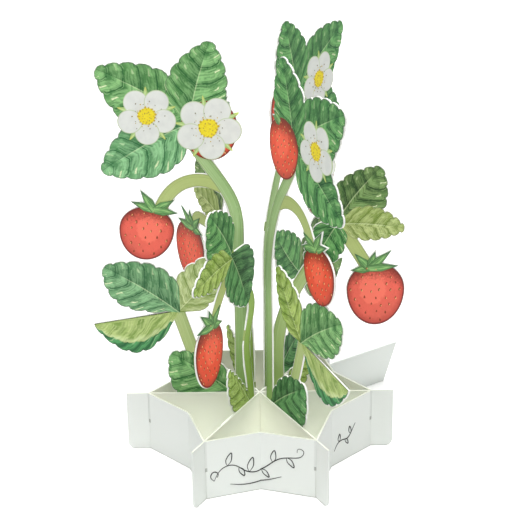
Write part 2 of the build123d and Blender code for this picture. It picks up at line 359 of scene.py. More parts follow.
def petalPaint():
    look = petalLook
    paint = Paint("petal_white", look["white"])
    x, y = paint.stored("share")[:2]
    paint.lay(paint.ramp(paint.mottle(look["greyScale"]), *look["greyAt"]), look["grey"])
    paint.lay(paint.ramp(reachOf(x, y), *look["outlineAt"]) * look["outlineCover"], look["outline"])
    return paint.finish()


def plainPaint(name, base, second, scale, spread=0.5):
    # small marks of one ink, a little uneven
    paint = Paint(name, base)
    mottle = paint.mottle(scale, 2.0, 0.6)
    paint.lay(paint.ramp(mottle, 0.35, 0.65) * spread, second)
    return paint.finish()


# How strongly each ink of a sepal is laid on
sepalLook = {"rootLight": 0.4, "tip": 0.85, "shadedHalf": 0.45, "edge": 0.75}


def sepalPaint(name, base, light, tip, edge):
    look = sepalLook
    paint = Paint(name, base)
    side, share = paint.stored("share")[:2]
    streak = paint.noise(paint.vector(side * 2.4, share * 1.5, 2.0), 1.0)
    paint.lay(paint.ramp(streak, 0.42, 0.58), light)
    paint.lay(paint.fade(share, 0.05, 0.4) * look["rootLight"], light)
    paint.lay(paint.ramp(share + (streak - 0.5) * 0.3, 0.6, 0.95) * look["tip"], tip)
    paint.lay(paint.ramp(side, 0.05, 0.5) * look["shadedHalf"], edge)
    paint.lay(paint.ramp(abs(side), 0.62, 0.9) * look["edge"], edge)
    return paint.finish()


# White board: distances are in metres, from the axis or from the table
boardLook = {"inside": (248, 249, 241), "cloud": (198, 202, 190), "clouds": 0.06,
             "fibre": (186, 184, 168), "fibres": 0.1, "paintedShade": (128, 130, 122),
             "slitAt": 0.0449, "slitWidth": 0.0005, "slitEnd": 0.0121, "slit": 0.14, "notch": 0.0016,
             "notchShadeCover": 0.6, "foot": 0.0005, "footShadeCover": 0.5, "back": (206, 203, 182), "backShadeCover": 0.4,
             "topEdge": (218, 221, 204), "topCover": 0.7, "tooth": 0.25, "cloudScale": 36.0,
             "fibreScale": 900.0, "wallInside": (-0.004, 0.004), "plateInside": (0.0435, 0.0455)}


def boardPaint(name, outside, inward=None):
    # inward says how the warmer inside is told: by the way a wall faces, or by the distance along a plate
    look = boardLook
    paint = Paint(name, outside, roughness=0.7, specular=0.2)
    if inward:
        x, y, z = paint.parts(paint.place())
        facingX, facingY, facingUp = paint.parts(paint.node("ShaderNodeNewGeometry").outputs["Normal"])
        radius = reachOf(x, y)
        if inward == "facing":
            within = paint.fade(x * facingX + y * facingY, *look["wallInside"])
        else:
            within = paint.fade(radius, *look["plateInside"])
        # painted light: the inner faces are laid lighter and warmer, partly the card's own cream and partly
        # standing in for light bounced round inside the cells
        paint.lay(within, look["inside"])
    cloud = paint.mottle(look["cloudScale"])
    paint.lay(paint.ramp(cloud, 0.3, 0.75) * look["clouds"], look["cloud"])
    fibre = paint.mottle(look["fibreScale"], 4.0, 0.65)
    paint.lay(paint.ramp(fibre, 0.62, 0.8) * look["fibres"], look["fibre"])
    if inward:
        # painted shade: a dark line down the slit at each point of the star to a darker notch at its end,
        # and a grey line along the foot of the card where it meets the table
        slit = paint.stripe(radius, look["slitAt"], look["slitWidth"] * 0.4, look["slitWidth"])
        aboveEnd = z.above(look["slitEnd"])
        notch = aboveEnd - z.above(look["slitEnd"] + look["notch"])
        paint.lay(slit * aboveEnd * look["slit"], look["paintedShade"])
        paint.lay(slit * notch * look["notchShadeCover"], look["paintedShade"])
        paint.lay(paint.fade(z, 0.0, look["foot"]) * look["footShadeCover"], look["paintedShade"])
        # painted shade: the inner faces of the walls towards the back are laid darker and browner
        paint.lay(within * paint.ramp(y, 0.0, 0.02) * look["backShadeCover"], look["back"])
        paint.lay(paint.ramp(facingUp, 0.6, 0.9) * look["topCover"], look["topEdge"])
    return paint.finish(look["tooth"])


paints = {name: leafPaint(name, inks, leafChanges.get(name, {})) for name, inks in leafInks.items()}
paints.update({
    "stem": stemPaint("stem_green", (160, 192, 130), (116, 154, 92), (190, 214, 162), (134, 174, 76)),
    "stemDeep": stemPaint("stem_deep", (156, 188, 96), (106, 142, 52), (186, 210, 124), (130, 168, 50)),
    "stemSoft": stemPaint("stem_soft", (178, 200, 136), (144, 172, 100), (198, 216, 162), (152, 184, 86)),
    "stalk": stemPaint("stalk_pale", (174, 194, 130), (142, 168, 100), (196, 212, 158), (164, 190, 116)),
    "branch": stemPaint("branch_khaki", (189, 204, 134), (162, 180, 106), (206, 218, 158), (180, 196, 122)),
    "berry": berryPaint("berry_coral"),
    "berryBright": berryPaint("berry_bright", flesh=(242, 88, 60), glow=(255, 106, 78), low=(226, 84, 62),
                              crown=(104, 40, 28), crownFrom=0.12, edge=(176, 64, 46),
                              outline=(116, 44, 34)),
    "seedDark": plainPaint("seed_dark", (150, 66, 46), (112, 76, 40), 1200.0),
    "seedPale": plainPaint("seed_pale", (250, 190, 130), (226, 170, 96), 1400.0),
    "petal": petalPaint(),
    "sepal": sepalPaint("sepal_green", (96, 152, 88), (158, 204, 130), (62, 92, 76), (62, 102, 62)),
    "blossomSepal": sepalPaint("blossom_sepal", (176, 208, 130), (202, 222, 160), (214, 214, 110),
                               (140, 176, 96)),
    "heart": plainPaint("blossom_heart", (240, 224, 52), (228, 200, 28), 1500.0),
    "stamen": plainPaint("stamen_ochre", (204, 176, 60), (166, 140, 62), 1500.0),
    "fleck": plainPaint("petal_fleck", (140, 134, 112), (112, 110, 92), 1500.0),
    "pen": plainPaint("pen_ink", (38, 40, 38), (22, 24, 22), 1200.0),
    "wall": boardPaint("wall_card", (229, 233, 229), "facing"),
    "plate": boardPaint("plate_card", (227, 231, 227), "distance"),
    "panel": boardPaint("panel_card", (233, 238, 234)),
    "core": boardPaint("sheet_core", (240, 241, 236)),
})
print("materials made", len(paints))

nodePaint = {"star_wall": "wall", "message_panel": "panel"}
for nodeName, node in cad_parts.items():
    choice = nodePaint.get(nodeName) or ("core" if nodeName.startswith("plant") else "plate")
    node.data.materials.clear()
    node.data.materials.append(paints[choice])


class Flat:
    # a printed shape in its sheet's own plane: millimetres out from the axis, then up from the table
    def __init__(self, paint, height):
        self.paint = paints[paint]
        self.height = height
        self.corners, self.flat, self.share, self.faces = [], [], [], []

    def put(self, corner, share, flat=(0, 0, 0)):
        # share and flat are what the paint reads there: parts of the shape, and millimetres on it
        self.corners.append(corner)
        self.share.append(share)
        self.flat.append(flat)

    def weave(self, start, rows, wide):
        # faces between neighbouring rows of corners
        for row in range(rows - 1):
            for a in range(start + row * wide, start + row * wide + wide - 1):
                self.faces.append((a, a + 1, a + wide + 1, a + wide))


def distancesAlong(points):
    return np.concatenate([[0], np.cumsum(np.linalg.norm(np.diff(points, axis=0), axis=1))])


def headingOf(start, end):
    # directions along and across the way from start to end, and its length
    length = np.linalg.norm(end - start)
    along = (end - start) / length
    return along, np.array([-along[1], along[0]]), length


def curveThrough(points, steps):
    # natural cubic through the points, spaced by chord
    points = np.array(points, float)
    knots = distancesAlong(points)
    gap = np.diff(knots)
    count = len(points)
    system = np.eye(count)
    target = np.zeros((count, 2))
    for i in range(1, count - 1):
        system[i, i - 1:i + 2] = gap[i - 1], 2 * (gap[i - 1] + gap[i]), gap[i]
        target[i] = 6 * ((points[i + 1] - points[i]) / gap[i] - (points[i] - points[i - 1]) / gap[i - 1])
    bend = np.linalg.solve(system, target)
    found = []
    for t in np.linspace(0, knots[-1], steps + 1):
        i = min(int(np.searchsorted(knots, t, side="right")) - 1, count - 2)
        a, b, h = knots[i + 1] - t, t - knots[i], gap[i]
        bowed = (bend[i] * a ** 3 + bend[i + 1] * b ** 3) / (6 * h)
        nearer = bowed + (points[i] / h - bend[i] * h / 6) * a
        found.append(nearer + (points[i + 1] / h - bend[i + 1] * h / 6) * b)
    return np.array(found)


def ribbonFlat(points, width, paint, height):
    shape = Flat(paint, height)
    middle = curveThrough(points, stemLook["steps"])
    heading = np.gradient(middle, axis=0)
    heading /= np.linalg.norm(heading, axis=1)[:, None]
    run = distancesAlong(middle)
    half = width / 2 - card["rim"]
    places = (1, 0.5, 0, -0.5, -1)
    for point, way, gone in zip(middle, heading, run):
        for place in places:
            shape.put(point + np.array([-way[1], way[0]]) * half * place, (place, gone / run[-1], 0),
                      (half * place, gone, half * (1 - abs(place))))
    shape.weave(0, len(middle), len(places))
    return shape


leafShape = {"teeth": 6, "depth": 1.0, "neck": 0.14, "crowding": 1.4, "fullness": 0.75, "columns": 12,
             "widest": {"usual": 0.43, "broad": 0.55, "far": 0.6}, "veinSlope": 0.8, "foldedSlope": 1.3,
             "veinBow": 1.15, "veinsBelow": 4, "footGap": 5.0, "tipGap": 3.0, "tipInset": 2.2,
             "corners": ((0.0, 0.0), (0.2, 0.72), (0.5, 1.0), (0.85, 0.75))}


def leafFlat(place, base, tip, left, right, paint, shade=1, widest=("usual", "usual")):
    # shade tells which half lies in shade: 1 for the left of the way from base to tip, -1 for the right
    shape = Flat(paint, layers["leaf"] + layers["leafStep"] * place)
    teeth, depth, rim = leafShape["teeth"], leafShape["depth"], card["rim"]
    base, tip = np.array(base, float), np.array(tip, float)
    along, sideways, length = headingOf(base, tip)
    marks = [(tooth + step, rise) for tooth in range(teeth) for step, rise in leafShape["corners"]]
    counts = np.array([count for count, rise in marks])
    slope = leafShape["veinSlope" if left else "foldedSlope"]
    rows, veins = [], []
    for side, reach, belly in ((1, left, widest[0]), (-1, right, widest[1])):
        bend = math.log(0.5) / math.log(leafShape["widest"][belly])
        edge, ends = [], []
        for count, rise in marks:
            share = 1 - (1 - leafShape["neck"]) * (1 - count / teeth) ** leafShape["crowding"]
            swell = math.sin(math.pi * share ** bend) ** leafShape["fullness"]
            across = (reach - depth) * swell + rise * depth if reach else 0.0
            edge.append(base + along * length * share + sideways * side * across)
            ends.append((length * share, length * share - slope * across))
        edgeAt, rootAt = np.array(ends).T
        veins.append((edgeAt, np.maximum.accumulate(rootAt + np.arange(len(rootAt)) * 0.01)))
        line = [base, *edge, tip]
        inner = []
        for i in range(1, len(line) - 1):     # move each corner in by the white rim
            turn = headingOf(line[i - 1], line[i])[0] + headingOf(line[i], line[i + 1])[0]
            turn /= np.linalg.norm(turn)
            inner.append(line[i] + np.array([-turn[1], turn[0]]) * -side * rim)
        rows.append(inner)

    def put(point, part, reach):
        # the phase counts the veins from base to tip; each vein slants from the middle out to its notch
        offset = point - base
        edgeAt, rootAt = veins[0 if part >= 0 else 1]
        line = rootAt + (edgeAt - rootAt) * abs(part) ** leafShape["veinBow"]
        gone = offset @ along
        phase = (np.interp(gone, line, counts) + min(gone - line[0], 0) / leafShape["footGap"]
                 + max(gone - line[-1], 0) / leafShape["tipGap"] + leafShape["veinsBelow"])
        shape.put(point, (part * shade, gone / length, phase), (offset @ sideways * shade, gone, reach))

    put(base, 0.0, 2.0)
    columns = leafShape["columns"]
    for leftCorner, rightCorner in zip(*rows):
        middle = base + along * (((leftCorner + rightCorner) / 2 - base) @ along)
        for step in range(-columns, columns + 1):
            part = -step / columns
            point = middle + (leftCorner - middle) * max(part, 0) + (rightCorner - middle) * max(-part, 0)
            halfWidth = np.linalg.norm((leftCorner if part > 0 else rightCorner) - middle)
            put(point, part, halfWidth * (1 - abs(part)))
    put(tip - along * rim * leafShape["tipInset"] - sideways * (0.0 if left else rim), 0.0, 0.0)
    wide, last = 2 * columns + 1, len(shape.corners) - 1
    shape.weave(1, len(marks), wide)
    for column in range(1, wide):
        shape.faces.append((column + 1, column, 0))
        shape.faces.append((last - wide + column - 1, last - wide + column, last))
    return shape


berryShape = {"shoulder": 0.42, "corners": 72, "lowTall": 27}


def berryFlat(centre, width, tall, lean, paint):
    shape = Flat(paint, layers["berry"])
    shoulder = berryShape["shoulder"] * tall
    crown = shoulder - tall / 2
    across, rim, turn = width / 2, card["rim"], math.radians(lean)
    shape.put((centre[0] + crown * math.sin(turn), centre[1] - crown * math.cos(turn)), (0, 0, 0))
    count = berryShape["corners"]
    for i in range(count):
        angle = 2 * math.pi * i / count
        reach = shoulder if math.sin(angle) > 0 else tall - shoulder
        x, y = (across - rim) * math.cos(angle), -crown + (reach - rim) * math.sin(angle)
        corner = (centre[0] + x * math.cos(turn) - y * math.sin(turn),
                  centre[1] + x * math.sin(turn) + y * math.cos(turn))
        shape.put(corner, (math.cos(angle), math.sin(angle), 0))
    shape.faces = [(0, 1 + i, 1 + (i + 1) % count) for i in range(count)]
    return shape


sepalShape = {"width": 3.2, "belly": 4.0, "bellyPlace": 0.4, "short": 0.9, "steps": 10}


def pointedFlat(start, end, widthAt, paint, place):
    # a pointed strip; widthAt gives half its width at a share of its length
    shape = Flat(paint, layers["sepal"] + layers["sepalStep"] * place)
    start, end = np.array(start, float), np.array(end, float)
    along, sideways, length = headingOf(start, end)
    steps = sepalShape["steps"]
    for step in range(steps + 1):
        part = step / steps
        for side in (1, 0, -1):
            corner = start + along * (length - sepalShape["short"]) * part + sideways * widthAt(part) * side
            shape.put(corner, (side, part, 0))
    shape.weave(0, steps + 1, 3)
    return shape


def berrySepals(crownPoint, tips):
    steps = (0, sepalShape["bellyPlace"], 1)
    halves = (sepalShape["width"] / 2 - card["rim"], sepalShape["belly"] / 2 - card["rim"], 0)
    return [pointedFlat(crownPoint, tip, lambda part: float(np.interp(part, steps, halves)), "sepal", i)
            for i, tip in enumerate(tips)]


# A blossom, in shares of its radius; a ring of dots is its distance in hearts, count, size, spread and paint
blossomLook = {"petals": 5, "petalShare": 0.42, "petalRim": 0.6, "petalCorners": 40, "heartDiscs": 3,
               "heartShare": 0.25, "heartSeat": 0.16, "heartTurn": 0.3, "dotCorners": 6,
               "dotSizes": (0.7, 1.25),
               "sepalFrom": 0.5, "sepalTo": 1.08, "sepalHalf": 1.5, "sepalTip": 0.02, "sepalTaper": 0.7,
               "rings": ((1.1, 17, 0.4, 0.12, "stamen"), (0.72, 12, 0.26, 0.3, "stamen"),
                         (0.4, 7, 0.24, 0.2, "stamen"), (1.55, 11, 0.2, 0.3, "stamen"),
                         (1.95, 14, 0.22, 0.55, "fleck"))}


def blossomSepals(centre, radius, turn):
    look = blossomLook

    def halfAt(part):
        return look["sepalHalf"] * (1 - part) ** look["sepalTaper"] + look["sepalTip"]

    found = []
    for i in range(look["petals"]):
        angle = math.radians(turn + 360 / look["petals"] * (i + 0.5))
        way = np.array([math.cos(angle), math.sin(angle)]) * radius
        found.append(pointedFlat(centre + way * look["sepalFrom"], centre + way * look["sepalTo"], halfAt,
                                 "blossomSepal", i))
    return found


def onSheet(arm, x, y, depth):
    # a place on an arm's plant sheet, in metres: x is out from the axis, y up, depth off the sheet's middle
    angle = math.radians(card["arms"][arm])
    radial = Vector((math.cos(angle), math.sin(angle), 0))
    normal = Vector((radial.y, -radial.x, 0))
    origin = normal * (-card["setback"] if arm in card["behind"] else card["setback"])
    return (origin + radial * x + Vector((0, 0, y)) + normal * depth) * mm


def linked(name, mesh):
    piece = bpy.data.objects.new(name, mesh)
    bpy.context.scene.collection.objects.link(piece)
    return piece


def cardPiece(name, places, faces, faceMaterials, stored):
    # a piece on the card, with a material for every face and what its paints read
    mesh = bpy.data.meshes.new(name)
    mesh.from_pydata([tuple(place) for place in places], [], faces)
    for title, values in stored.items():
        attribute = mesh.attributes.new(title, "FLOAT_VECTOR", "POINT")
        attribute.data.foreach_set("vector", np.array(values, np.float32).ravel())
    used = list(dict.fromkeys(material.name for material in faceMaterials))
    for title in used:
        mesh.materials.append(bpy.data.materials[title])
    mesh.polygons.foreach_set("material_index", [used.index(material.name) for material in faceMaterials])
    mesh.update()
    piece = linked(name, mesh)
    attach(piece, "root")


def printPiece(name, arm, flats):
    # each flat becomes a thin slab through the sheet, so that it is printed on both faces
    places, faces, faceMaterials, flat, share = [], [], [], [], []
    for shape in flats:
        half = card["sheet"] / 2 + shape.height
        start, count = len(places), len(shape.corners)
        for depth in (half, -half):
            places += [onSheet(arm, x, y, depth) for x, y in shape.corners]
            flat += shape.flat
            share += shape.share
        edges = {(face[i - 1], face[i]) for face in shape.faces for i in range(len(face))}
        rim = sorted((a, b) for a, b in edges if (b, a) not in edges)
        made = [tuple(start + i for i in face) for face in shape.faces]
        made += [tuple(start + count + i for i in reversed(face)) for face in shape.faces]
        made += [(start + a, start + count + a, start + count + b, start + b) for a, b in rim]
        faces += made
        faceMaterials += [shape.paint] * len(made)
    cardPiece(name, places, faces, faceMaterials, {"flat": flat, "share": share})


class Growth(NodeTree):
    # a geometry node tree with named inputs, for what repeats: seeds, petals, stamens, flecks and pen lines
    def __init__(self, name, inputs, path=None):
        super().__init__(bpy.data.node_groups.new(name, "GeometryNodeTree"))
        face = self.tree.interface
        if path:
            face.new_socket(path, in_out="INPUT", socket_type="NodeSocketGeometry")
        self.sockets = {}
        for title, value in inputs.items():
            kind = "NodeSocketInt" if isinstance(value, int) else "NodeSocketFloat"
            made = face.new_socket(title, in_out="INPUT", socket_type=kind)
            made.default_value = value
            self.sockets[title] = made.identifier
        made = face.new_socket("Paint", in_out="INPUT", socket_type="NodeSocketMaterial")
        self.sockets["Paint"] = made.identifier
        face.new_socket("Mesh", in_out="OUTPUT", socket_type="NodeSocketGeometry")
        self.start = self.tree.nodes.new("NodeGroupInput")
        self.end = self.tree.nodes.new("NodeGroupOutput")

    def given(self, *titles):
        found = [Value(self, self.start.outputs[title]) for title in titles]
        return found if len(found) > 1 else found[0]

    def random(self, low, high, seed):
        drawn = {2: low, 3: high, "Seed": seed}
        return self.value("FunctionNodeRandomValue", {"data_type": "FLOAT"}, drawn, 1)

    def position(self):
        return self.node("GeometryNodeInputPosition").outputs[0]

    def shape(self, kind, sockets):
        return self.node(kind, None, sockets).outputs[0]

    def close(self, kind, sockets):
        # the last shape, made real and painted
        whole = self.shape("GeometryNodeRealizeInstances", [self.shape(kind, sockets)])
        painted = self.shape("GeometryNodeSetMaterial", {"Geometry": whole, "Material": self.given("Paint")})
        self.tree.links.new(painted, self.end.inputs["Mesh"])
        return self

    def grow(self, values, path=None):
        # run the tree once, on an empty object or on the given line, and hand back the plain mesh
        holder = linked("holder", path or bpy.data.meshes.new("holder"))
        modifier = holder.modifiers.new("growth", "NODES")
        modifier.node_group = self.tree
        for title, value in values.items():
            modifier[self.sockets[title]] = value
        ready = holder.evaluated_get(bpy.context.evaluated_depsgraph_get())
        mesh = bpy.data.meshes.new_from_object(ready)
        bpy.data.objects.remove(holder)
        return mesh


# Seeds: sizes in millimetres; a pale one lies on most dark ones, its sizes as shares of the dark one's
seedLook = {"spacing": 3.9, "crowded": 0.86, "sideGap": 1.2, "endGap": 1.3, "length": 0.66, "width": 0.36,
            "paleLength": 0.62, "paleWidth": 0.55, "paleShift": 0.22, "kept": 0.55, "keptCrowded": 0.85,
            "paleDrop": -0.8, "columns": 9, "rows": 14, "rowGap": 0.8, "nudge": 0.6, "corners": 7,
            "taper": 0.5, "turn": 0.35, "sizes": (0.75, 1.15)}


def seedTree():
    # seeds on a staggered grid, each nudged, turned and sized by chance, inside the berry's oval
    look = seedLook
    tree = Growth("berrySeeds", {"Across": 10.0, "Down": 12.0, "Spacing": 3.4, "Length": 0.75, "Width": 0.4,
                                 "Thickness": 1.2, "Keep": 1.0, "Shift": 0.0})
    across, down, spacing, keep, shift = tree.given("Across", "Down", "Spacing", "Keep", "Shift")
    columns, rows, nudge, turn = look["columns"], look["rows"], look["nudge"], look["turn"]
    grid = tree.shape("GeometryNodeMeshGrid", {"Size X": spacing * (columns - 1.0), "Vertices X": columns,
                                               "Size Y": spacing * ((rows - 1) * look["rowGap"]),
                                               "Vertices Y": rows})
    stagger = tree.value("GeometryNodeInputIndex").run("MODULO", 2.0) * (spacing * 0.5)
    offset = tree.vector(stagger + tree.random(-nudge, nudge, 5), tree.random(-nudge, nudge, 9))
    moved = tree.shape("GeometryNodeSetPosition", {"Geometry": grid, "Offset": offset})
    x, y = tree.parts(tree.position())[:2]
    outside = reachOf(x / across, y / down).above(1.0)
    skipped = tree.random(0.0, 1.0, 17).above(keep)
    kept = tree.shape("GeometryNodeDeleteGeometry", {"Geometry": moved,
                                                     "Selection": outside.run("MAXIMUM", skipped)})
    disc = tree.shape("GeometryNodeMeshCylinder", {"Vertices": look["corners"], "Radius": 1.0, "Depth": 1.0})
    size = tree.vector(*tree.given("Width", "Length", "Thickness"))
    shaped = tree.shape("GeometryNodeTransform", {"Geometry": disc, "Scale": size})
    x, y, z = tree.parts(tree.position())
    drop = tree.vector(x * (1 - y * look["taper"]), y, z)
    pointed = tree.shape("GeometryNodeSetPosition", {"Geometry": shaped, "Position": drop})
    scale = tree.random(*look["sizes"], 29)
    placed = tree.shape("GeometryNodeInstanceOnPoints", {
        "Points": kept, "Instance": pointed, "Scale": tree.vector(scale, scale, 1.0),
        "Rotation": tree.vector(0.0, 0.0, tree.random(-turn, turn, 23))})
    lift = tree.vector(shift, shift * look["paleDrop"])
    return tree.close("GeometryNodeTranslateInstances", {"Instances": placed, "Translation": lift})


def petalTree():
    # round petals on a ring, each a step thicker than the last, so that no two faces lie in one plane
    tree = Growth("blossomPetals", {"Petals": 5, "Seat": 6.7, "Radius": 4.8, "Turn": 0.0, "Thickness": 1.3,
                                    "Step": 0.05})
    petals, seat, radius, turn, thickness, step = tree.given("Petals", "Seat", "Radius", "Turn", "Thickness",
                                                             "Step")
    ring = tree.shape("GeometryNodeMeshCircle", {"Vertices": petals, "Radius": seat})
    turned = tree.shape("GeometryNodeTransform", {"Geometry": ring, "Rotation": tree.vector(0.0, 0.0, turn)})
    petal = tree.shape("GeometryNodeMeshCylinder", {"Vertices": blossomLook["petalCorners"], "Radius": 1.0,
                                                    "Depth": 1.0})
    marked = tree.node("GeometryNodeStoreNamedAttribute", {"data_type": "FLOAT_VECTOR", "domain": "POINT"},
                       {"Geometry": petal, "Name": "share", "Value": tree.position()})
    thick = thickness + tree.value("GeometryNodeInputIndex") * step
    return tree.close("GeometryNodeInstanceOnPoints", {"Points": turned, "Instance": marked.outputs[0],
                                                       "Scale": tree.vector(radius, radius, thick)})


def ringTree():
    # a ring of dots that stray in and out by chance
    tree = Growth("stamenRing", {"Count": 22, "Ring": 3.0, "Spread": 0.4, "Dot": 0.22, "Thickness": 1.6,
                                 "Seed": 1})
    count, ring, spread, dot, thickness = tree.given("Count", "Ring", "Spread", "Dot", "Thickness")
    circle = tree.shape("GeometryNodeMeshCircle", {"Vertices": count, "Radius": ring})
    stray = spread / ring * tree.random(-1.0, 1.0, tree.given("Seed"))
    offset = tree.node("ShaderNodeVectorMath", {"operation": "SCALE"}, {0: tree.position(), "Scale": stray})
    moved = tree.shape("GeometryNodeSetPosition", {"Geometry": circle, "Offset": offset.outputs[0]})
    disc = tree.shape("GeometryNodeMeshCylinder", {"Vertices": blossomLook["dotCorners"], "Radius": 1.0,
                                                   "Depth": 1.0})
    size = tree.random(*blossomLook["dotSizes"], 4) * dot
    return tree.close("GeometryNodeInstanceOnPoints", {"Points": moved, "Instance": disc,
                                                       "Scale": tree.vector(size, size, thickness)})


def penTree():
    # a round pen line, thin at both ends and full in the middle
    tree = Growth("penLine", {"Width": 0.0003, "Lightest": 0.5}, "Line")
    line, width, lightest = tree.given("Line", "Width", "Lightest")
    along = tree.value("GeometryNodeSplineParameter", output="Factor")
    pressure = lightest + (1 - lightest) * (along * math.pi).run("SINE")
    path = tree.shape("GeometryNodeMeshToCurve", {"Mesh": line})
    nib = tree.shape("GeometryNodeCurvePrimitiveCircle", {"Resolution": 6, "Radius": 0.5})
    return tree.close("GeometryNodeCurveToMesh", {"Curve": path, "Profile Curve": nib, "Fill Caps": True,
                                                  "Scale": width * pressure})


trees = {"seeds": seedTree(), "petals": petalTree(), "ring": ringTree(), "pen": penTree()}
print("geometry trees made")


def grownPiece(name, arm, growths):
    # joins meshes grown in millimetres round a centre on one sheet
    places, faces, faceMaterials, share = [], [], [], []
    for mesh, centre, lean in growths:
        start = len(places)
        turn = Matrix.Rotation(math.radians(lean), 3, "Z")
        stored = mesh.attributes.get("share")
        for i, vertex in enumerate(mesh.vertices):
            spot = turn @ vertex.co
            places.append(onSheet(arm, spot.x + centre[0], spot.y + centre[1], spot.z))
            share.append(tuple(stored.data[i].vector) if stored else (0, 0, 0))
        faces += [[start + i for i in polygon.vertices] for polygon in mesh.polygons]
        faceMaterials += [mesh.materials[mesh.polygons[0].material_index]] * len(mesh.polygons)
        bpy.data.meshes.remove(mesh)
    cardPiece(name, places, faces, faceMaterials, {"share": share})


def throughSheet(layer, step=0):
    # thickness of a mark that shows on both faces of the sheet
    return card["sheet"] + 2 * (layers[layer] + step)


def seedGrowths(centre, width, tall, lean, paint):
    look = seedLook
    crowded = paint == "berryBright"
    shared = {"Across": width / 2 - look["sideGap"], "Down": tall / 2 - look["endGap"],
              "Spacing": look["spacing"] * (look["crowded"] if crowded else 1.0)}
    dark = {"Length": look["length"], "Width": look["width"], "Thickness": throughSheet("seed"),
            "Paint": paints["seedDark"]}
    pale = {"Length": look["length"] * look["paleLength"], "Width": look["width"] * look["paleWidth"],
            "Thickness": throughSheet("seed", layers["seedStep"]), "Shift": look["paleShift"],
            "Keep": look["keptCrowded"] if crowded else look["kept"], "Paint": paints["seedPale"]}
    return [(trees["seeds"].grow({**shared, **marks}), centre, lean) for marks in (dark, pale)]


def blossomGrowths(centre, radius, turn):
    look = blossomLook
    petal, heart = look["petalShare"] * radius, look["heartShare"] * radius
    grown = [trees["petals"].grow({"Petals": look["petals"], "Seat": radius - petal,
                                   "Radius": petal - card["rim"] * look["petalRim"],
                                   "Thickness": throughSheet("petal"), "Step": 2 * layers["petalStep"],
                                   "Turn": math.radians(turn), "Paint": paints["petal"]}),
             trees["petals"].grow({"Petals": look["heartDiscs"], "Seat": heart * look["heartSeat"],
                                   "Radius": heart, "Thickness": throughSheet("heart"),
                                   "Step": 2 * layers["heartStep"], "Turn": look["heartTurn"],
                                   "Paint": paints["heart"]})]
    for ring, count, size, spread, paint in look["rings"]:
        grown.append(trees["ring"].grow({"Count": count, "Ring": heart * ring, "Spread": heart * spread,
                                         "Dot": size, "Thickness": throughSheet("dot"),
                                         "Seed": int(turn) + count, "Paint": paints[paint]}))
    return [(mesh, centre, 0.0) for mesh in grown]


def printSprig(arm, stems, leaves, berries, crowns, blossoms=()):
    stemWidth = {"branch": stemLook["branchWidth"], "stem": stemLook["width"]}
    printPiece("stems_" + arm, arm, [ribbonFlat(points, stemWidth[layer], paint, layers[layer])
                                     for points, layer, paint in stems])
    printPiece("leaves_" + arm, arm, [leafFlat(i, *leaf) for i, leaf in enumerate(leaves)])
    for blossom in blossoms:
        crowns = crowns + blossomSepals(*blossom)
    printPiece("berries_" + arm, arm, [berryFlat(*berry) for berry in berries] + crowns)
    grownPiece("seeds_" + arm, arm, [seed for berry in berries for seed in seedGrowths(*berry)])
    if blossoms:
        marks = [mark for blossom in blossoms for mark in blossomGrowths(*blossom)]
        grownPiece("blossoms_" + arm, arm, marks)
    print("sprig printed", arm)


# Tall sprigs: how far the upper and the lower parts are shifted from the left one's, and the paints
tallLook = {
    "left": {"upper": (0, 0), "lower": (0, 0), "foot": "meadow", "inner": "hay", "folded": "turned",
             "outer": "sage", "crown": "meadow", "crownLow": "fern", "berry": "berry", "blossoms": 2},
    "front_right": {"upper": (2.5, -1.5), "lower": (1, 0), "foot": "night", "inner": "lime",
                    "folded": "turned", "outer": "meadow", "crown": "forest", "crownLow": "forest",
                    "berry": "berryBright", "blossoms": 1},
    "back_right": {"upper": (4, 2.5), "lower": (0, 4), "foot": "night", "inner": "forest", "folded": "moss",
                   "outer": "moss", "crown": "forest", "crownLow": "forest", "berry": "berryBright",
                   "blossoms": 1},
}


def tallSprig(arm, look):
    # each leaf: base, tip, its reach to the left and to the right, paint, and sometimes shade and belly
    def up(x, y):
        return (x + look["upper"][0], y + look["upper"][1])

    def low(x, y):
        return (x + look["lower"][0], y + look["lower"][1])

    stem = [(7, 3), (7.2, 40), (7.2, 70), (7.8, 90), up(8.5, 104), up(14, 116), up(22, 128), up(28, 142)]
    branch = [up(13, 113.5), up(21, 116.5), up(29, 115), up(34.5, 110), up(38, 103)]
    stalk = [(19, 3), (23.5, 33), low(27.5, 47), low(32, 62)]
    leaves = [((7, 22), (35.5, 43), 8.5, 14.5, look["foot"], 1, ("broad", "broad")),
              (low(32, 61), low(13, 86), 9, 9.5, look["inner"]),
              (low(31, 62), low(65.5, 56.5), 0, 16, look["folded"], 1, ("usual", "broad")),
              (low(31, 61), low(60.5, 81), 12.5, 10.5, look["outer"], 1, ("usual", "far")),
              (up(25.5, 139.5), up(59, 120.5), 11.5, 13.2, look["crownLow"]),
              (up(26, 142), up(59.5, 161), 11.8, 13.7, look["crown"]),
              (up(25.5, 139), up(16.5, 171), 11.3, 12.5, look["crown"], -1)]
    berries = [(up(43, 95), 21.5, 22.5, 8, look["berry"]), (up(17.5, 136.5), 21.5, 24, -8, "berryBright")]
    crowns = berrySepals(up(39.5, 104.5), [up(49, 108.5), up(45, 113.5), up(31, 109), up(30, 103)])
    crowns += berrySepals(up(15, 146), [up(9, 147.5), up(10, 150)])
    blossoms = [(up(41, 142.5), 11.5, 54), (up(18, 137.5), 12.8, 46)]
    stems = [(branch, "branch", "branch"), (stalk, "branch", "stalk"), (stem, "stem", "stem")]
    printSprig(arm, stems, leaves, berries, crowns, blossoms[:look["blossoms"]])


